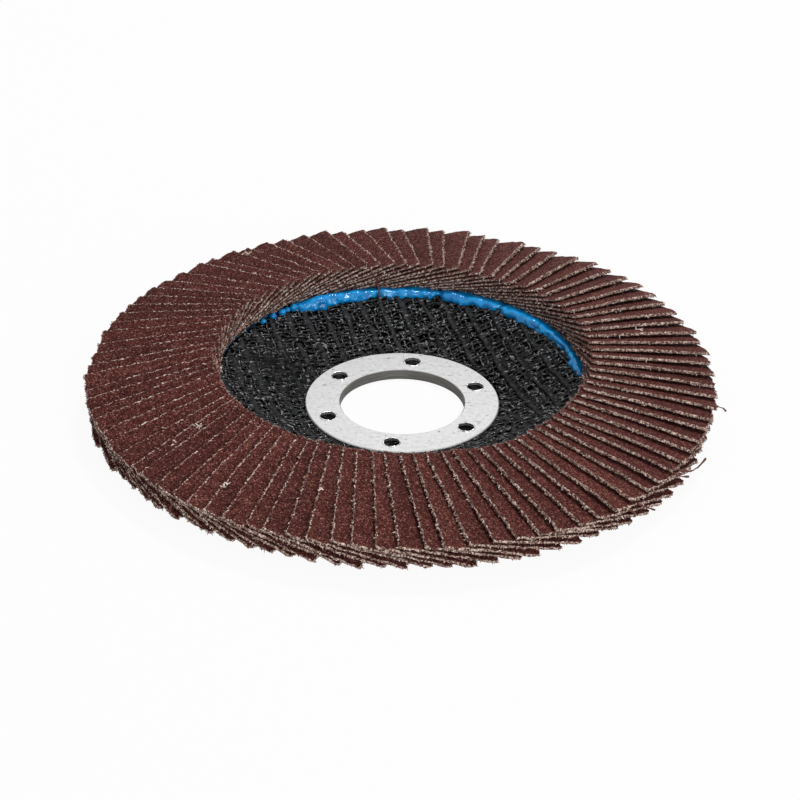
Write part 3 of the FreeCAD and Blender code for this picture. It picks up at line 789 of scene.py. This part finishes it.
stained = add_node(tree, "GeometryNodeStoreNamedAttribute", {"data_type": "FLOAT", "domain": "INSTANCE"}, {
    "Geometry": tufts.outputs[0], "Name": "stain", "Value": stain.outputs[1]})
loose = add_node(tree, "GeometryNodeRealizeInstances", {}, {"Geometry": stained.outputs[0]})
yarned = add_node(tree, "GeometryNodeSetMaterial", {}, {
    "Geometry": loose.outputs[0], "Material": sizes["Yarn"]})
both = add_node(tree, "GeometryNodeJoinGeometry", {}, {})
tree.links.new(yarned.outputs[0], both.inputs[0])
tree.links.new(sheets.outputs[0], both.inputs[0])
add_node(tree, "NodeGroupOutput", {}, {"Geometry": both.outputs[0]})

# Where each flap lies: its turn about the axis, then a small lean, slip and reach, which keep
# the sheet in its own plane; some leave a wider gap. Along some stretches of the rim all flaps
# reach further, or less far: an angle and a spread in degrees, and millimetres.
flap_draw = random.Random(11)
slips = [flap_draw.uniform(-0.32, 0.32) * mm for _ in range(flap_count)]
longer_stretches = [
    (45, 26, 1.15), (100, 25, 0.75), (156, 12, 0.6), (192, 14, 0.6), (262, 20, -0.3), (310, 8, 0.5),
    (337, 12, -0.3),
]
sectors = 5
per_sector = flap_count // sectors
flap_pieces = []
for sector in range(sectors):
    seat_places = []
    turns = []
    tones = []
    wears = []
    for index in range(sector * per_sector, (sector + 1) * per_sector):
        lean = math.radians(flap_draw.gauss(0.0, 0.7))
        reach = flap_draw.uniform(-0.2, 0.1) * mm
        reach += added_at(index * 360 / flap_count, longer_stretches) * mm
        own = Matrix.Translation((reach, slips[index], 0.0)) @ Matrix.Rotation(lean, 4, "Z")
        stand = Matrix.Translation((flap_start, -flap_edge_offset, flap_top))
        stand = stand @ Euler((-flap_tilt, face_slope, 0.0), "XYZ").to_matrix().to_4x4()
        whole = Matrix.Rotation(2 * math.pi * index / flap_count, 4, "Z") @ stand @ own
        seat_places.append(whole.translation)
        turns.append(whole.to_euler("XYZ"))
        tones.append(flap_draw.uniform(0.86, 1.14))
        behind = max(0.0, math.sin(2 * math.pi * index / flap_count + 0.3))
        wears.append((0.2 + 0.4 * behind) * flap_draw.uniform(0.4, 1.6) * mm)
    flaps = new_piece(f"flaps_{sector + 1}", seat_places, [], [])
    flaps.data.attributes.new("turn", "FLOAT_VECTOR", "POINT").data.foreach_set(
        "vector", np.array(turns, np.float32).ravel())
    for name, values in (("tone", tones), ("wear", wears), ("own", [tone * 50 for tone in tones])):
        flaps.data.attributes.new(name, "FLOAT", "POINT").data.foreach_set("value", values)
    grow(flaps, tree, {
        "Flap": flap_cut, "Yarn end": tuft, "Lift": 0.4 * mm, "Sag": 0.25 * mm,
        "Edge wander": 0.6 * mm, "Yarn spacing": 0.15 * mm, "Seed": 5 + sector,
        "Cloth": grain, "Yarn": cotton_yarn,
    })
    first_pair = sector * per_sector // 2 + 1
    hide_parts(*[f"flap_pair_{first_pair + pair:02d}" for pair in range(per_sector // 2)])
    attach(flaps, "root")
    flap_pieces.append(flaps)
bpy.data.objects.remove(flap_cut)

# Fluff. Short bits of cotton that the cutting left on the grain, in a few small clusters; each
# cluster is an angle in degrees, a radius in millimetres and a number of bits.
clusters = [
    (124, 53.5, 9), (213.6, 42, 8), (214.5, 47, 4), (233.5, 49.5, 9), (196, 47, 3), (252, 44, 3),
    (20, 46, 4),
]

# Each bit falls onto the flaps from this height in millimetres.
fall_height = 30
fluff_draw = random.Random(23)
spots = []
for angle, radius, amount in clusters:
    for _ in range(amount):
        aside = fluff_draw.gauss(0, 0.5)
        start = place_at(angle + aside, radius + fluff_draw.gauss(0, 0.45), fall_height)
        landed = [piece.ray_cast(start, Vector((0, 0, -1))) for piece in flap_pieces]
        spots.append(max((spot for hit, spot, _, _ in landed if hit), key=lambda spot: spot.z))
fluff = new_piece("cotton_fluff", spots, [], [])
tree, sizes = new_tree("bits_on_points", [
    ("Bit", "NodeSocketObject"),
    ("Seed", "NodeSocketInt"),
    ("Finish", "NodeSocketMaterial"),
])
bit = add_node(tree, "GeometryNodeObjectInfo", {}, {"Object": sizes["Bit"]})
lean = add_node(tree, "FunctionNodeRandomValue", {"data_type": "FLOAT_VECTOR"}, {
    0: (-1.6, -1.6, -3.14), 1: (1.6, 1.6, 3.14), "Seed": sizes["Seed"]})
leaned = add_node(tree, "FunctionNodeEulerToRotation", {}, {"Euler": lean.outputs[0]})
laid = add_node(tree, "GeometryNodeInstanceOnPoints", {}, {
    "Points": sizes["Geometry"], "Instance": bit.outputs["Geometry"], "Rotation": leaned.outputs[0],
    "Scale": (1.5, 1.5, 2.2)})
pale = add_node(tree, "GeometryNodeStoreNamedAttribute", {"data_type": "FLOAT", "domain": "INSTANCE"}, {
    "Geometry": laid.outputs[0], "Name": "stain", "Value": 0.9})
end_tree(tree, pale.outputs[0], sizes["Finish"])
grow(fluff, tree, {"Bit": tuft, "Seed": 4, "Finish": cotton_yarn})
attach(fluff, "root")
bpy.data.objects.remove(tuft)

# Loose threads. Single yarns pulled out of the cut ends at the rim, and one that is stuck
# across the epoxy; each is a list of points, an angle in degrees, a radius and a height in mm.
threads = [
    [(-31.5, 53.5, 7.4), (-31.2, 55.5, 6.6), (-30.2, 57.0, 6.2), (-28.6, 57.9, 6.6), (-27.0, 58.4, 7.6)],
    [(-32.6, 54.0, 6.6), (-32.0, 56.2, 5.9), (-30.9, 57.2, 5.7)],
    [(-44.5, 54.0, 6.2), (-43.8, 56.0, 5.6), (-43.4, 57.4, 5.6), (-42.7, 58.2, 5.3)],
    [(-47.0, 54.5, 6.0), (-46.2, 56.2, 5.5), (-46.4, 57.2, 5.0)],
    [(-10.0, 54.5, 8.0), (-9.4, 56.6, 7.5), (-9.8, 57.6, 7.0)],
    [(227.0, 54.5, 6.0), (226.6, 56.2, 5.2), (227.2, 56.9, 4.5)],
    [(99.4, 33.6, 8.4), (98.9, 32.6, 8.2), (98.5, 31.4, 7.7), (98.6, 30.6, 6.6)],
]
points = []
edges = []
for thread in threads:
    for step, (angle, radius, height) in enumerate(thread):
        points.append(place_at(angle, radius, height))
        if step:
            edges.append((len(points) - 2, len(points) - 1))
thread_pieces = new_piece("loose_threads", points, edges, [])
tree, sizes = new_tree("threads_on_lines", [
    ("Thickness", "NodeSocketFloat"),
    ("Finish", "NodeSocketMaterial"),
])
lines = add_node(tree, "GeometryNodeMeshToCurve", {}, {"Mesh": sizes["Geometry"]})
soft = add_node(tree, "GeometryNodeCurveSplineType", {"spline_type": "CATMULL_ROM"}, {
    "Curve": lines.outputs[0]})
finer = add_node(tree, "GeometryNodeResampleCurve", {"mode": "COUNT"}, {
    "Curve": soft.outputs[0], "Count": 24})
shaken = add_node(tree, "ShaderNodeTexNoise", {}, {"Scale": 0.9 / mm, "Detail": 1.0})
centred = add_node(tree, "ShaderNodeVectorMath", {"operation": "SUBTRACT"},
                   {0: shaken.outputs["Color"], 1: (0.5, 0.5, 0.5)})
shift = add_node(tree, "ShaderNodeVectorMath", {"operation": "SCALE"}, {
    0: centred.outputs[0], "Scale": 0.6 * mm})
bent = add_node(tree, "GeometryNodeSetPosition", {}, {
    "Geometry": finer.outputs[0], "Offset": shift.outputs[0]})
section = add_node(tree, "GeometryNodeCurvePrimitiveCircle", {}, {
    "Resolution": 5, "Radius": sizes["Thickness"]})
lumpy = add_node(tree, "ShaderNodeMapRange", {}, {
    "Value": shaken.outputs["Fac"], "From Min": 0.3, "From Max": 0.7, "To Min": 0.5, "To Max": 1.4})
swept = add_node(tree, "GeometryNodeCurveToMesh", {}, {
    "Curve": bent.outputs[0], "Profile Curve": section.outputs[0], "Scale": lumpy.outputs[0],
    "Fill Caps": True})
stained = add_node(tree, "GeometryNodeStoreNamedAttribute", {"data_type": "FLOAT", "domain": "POINT"},
                   {"Geometry": swept.outputs[0], "Name": "stain", "Value": 0.3})
end_tree(tree, stained.outputs[0], sizes["Finish"])
grow(thread_pieces, tree, {"Thickness": 0.17 * mm, "Finish": cotton_yarn})
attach(thread_pieces, "root")

# Floor. A broad sheet of matt white card. For the camera most of it glows, so that it reads
# as evenly lit white paper, with only a trace of the disc's soft shadow.
half = 3.0
floor = new_piece("floor", [(-half, -half, 0), (half, -half, 0), (half, half, 0), (-half, half, 0)], [],
                  [(0, 1, 2, 3)])
card = bpy.data.materials.new("matt_white_card")
card.use_nodes = True
tree = card.node_tree
tree.nodes.remove(tree.nodes["Principled BSDF"])
rays = add_node(tree, "ShaderNodeLightPath", {}, {})
paper = add_node(tree, "ShaderNodeBsdfDiffuse", {}, {"Color": linear("e6e6e6")})
glow = add_node(tree, "ShaderNodeEmission", {}, {"Color": (1.0, 1.0, 1.0, 1.0), "Strength": 1.0})
share = add_node(tree, "ShaderNodeMath", {"operation": "MULTIPLY"}, {
    0: rays.outputs["Is Camera Ray"], 1: 0.94})
both = add_node(tree, "ShaderNodeMixShader", {}, {
    0: share.outputs[0], 1: paper.outputs[0], 2: glow.outputs[0]})
tree.links.new(both.outputs[0], tree.nodes["Material Output"].inputs["Surface"])
floor.data.materials.append(card)

# Light. A white room seen by the camera and in reflections, a small softbox high behind the
# disc for its shadows and glints, and a broad one low in front, both from the right.
world = bpy.data.worlds.new("studio")
bpy.context.scene.world = world
world.use_nodes = True
tree = world.node_tree
rays = add_node(tree, "ShaderNodeLightPath", {}, {})
seen = add_node(tree, "ShaderNodeMath", {"operation": "MAXIMUM"},
                {0: rays.outputs["Is Camera Ray"], 1: rays.outputs["Is Transmission Ray"]})
seen = add_node(tree, "ShaderNodeMath", {"operation": "MAXIMUM"},
                {0: seen.outputs[0], 1: rays.outputs["Is Glossy Ray"]})
level = add_node(tree, "ShaderNodeMapRange", {}, {
    "Value": seen.outputs[0], "From Min": 0.0, "From Max": 1.0, "To Min": 0.35, "To Max": 1.0})
tree.links.new(level.outputs[0], tree.nodes["Background"].inputs["Strength"])
tree.nodes["Background"].inputs["Color"].default_value = (1.0, 1.0, 1.0, 1.0)


def add_softbox(name, place, aim, size, power):
    """A square area lamp at a place, turned to face a point."""
    lamp = bpy.data.lights.new(name, "AREA")
    lamp.shape = "SQUARE"
    lamp.size = size
    lamp.energy = power
    box = bpy.data.objects.new(name, lamp)
    box.location = place
    box.rotation_euler = (Vector(aim) - Vector(place)).to_track_quat("-Z", "Y").to_euler()
    bpy.context.scene.collection.objects.link(box)


add_softbox("key_softbox", (0.15, 0.25, 0.65), (0, 0, 0), 0.15, 2.9)
add_softbox("front_softbox", (0.3, -0.65, 0.25), (0, 0, 0), 0.4, 3.0)

# Camera. A long lens from the front, raised 31 degrees, as the photograph was taken. It
# aims at the middle of the ring's upper face, which lies a little off the frame's centre.
target = Vector((0.0, 0.0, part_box("centre_ring")[1].z))
camera_distance = 0.6
camera_elevation = math.radians(30.81)
camera_azimuth = math.radians(-90 - camera_turn)
camera_roll = math.radians(0.97)
picture_width = 800
pixels_per_metre = 5600
target_pixel = (402.22, 401.22)
lens_data = bpy.data.cameras.new("camera")
lens_data.sensor_width = 36.0
lens_data.lens = lens_data.sensor_width * pixels_per_metre * camera_distance / picture_width
lens_data.shift_x = (picture_width / 2 - target_pixel[0]) / picture_width
lens_data.shift_y = (target_pixel[1] - picture_width / 2) / picture_width
camera = bpy.data.objects.new("camera", lens_data)
bpy.context.scene.collection.objects.link(camera)
away = Vector((
    math.cos(camera_elevation) * math.cos(camera_azimuth),
    math.cos(camera_elevation) * math.sin(camera_azimuth),
    math.sin(camera_elevation),
))
facing = (-away).to_track_quat("-Z", "Y").to_matrix().to_4x4()
camera.matrix_world = (
    Matrix.Translation(target + away * camera_distance) @ facing @ Matrix.Rotation(camera_roll, 4, "Z"))
bpy.context.scene.camera = camera

bpy.context.scene.view_settings.view_transform = "Standard"
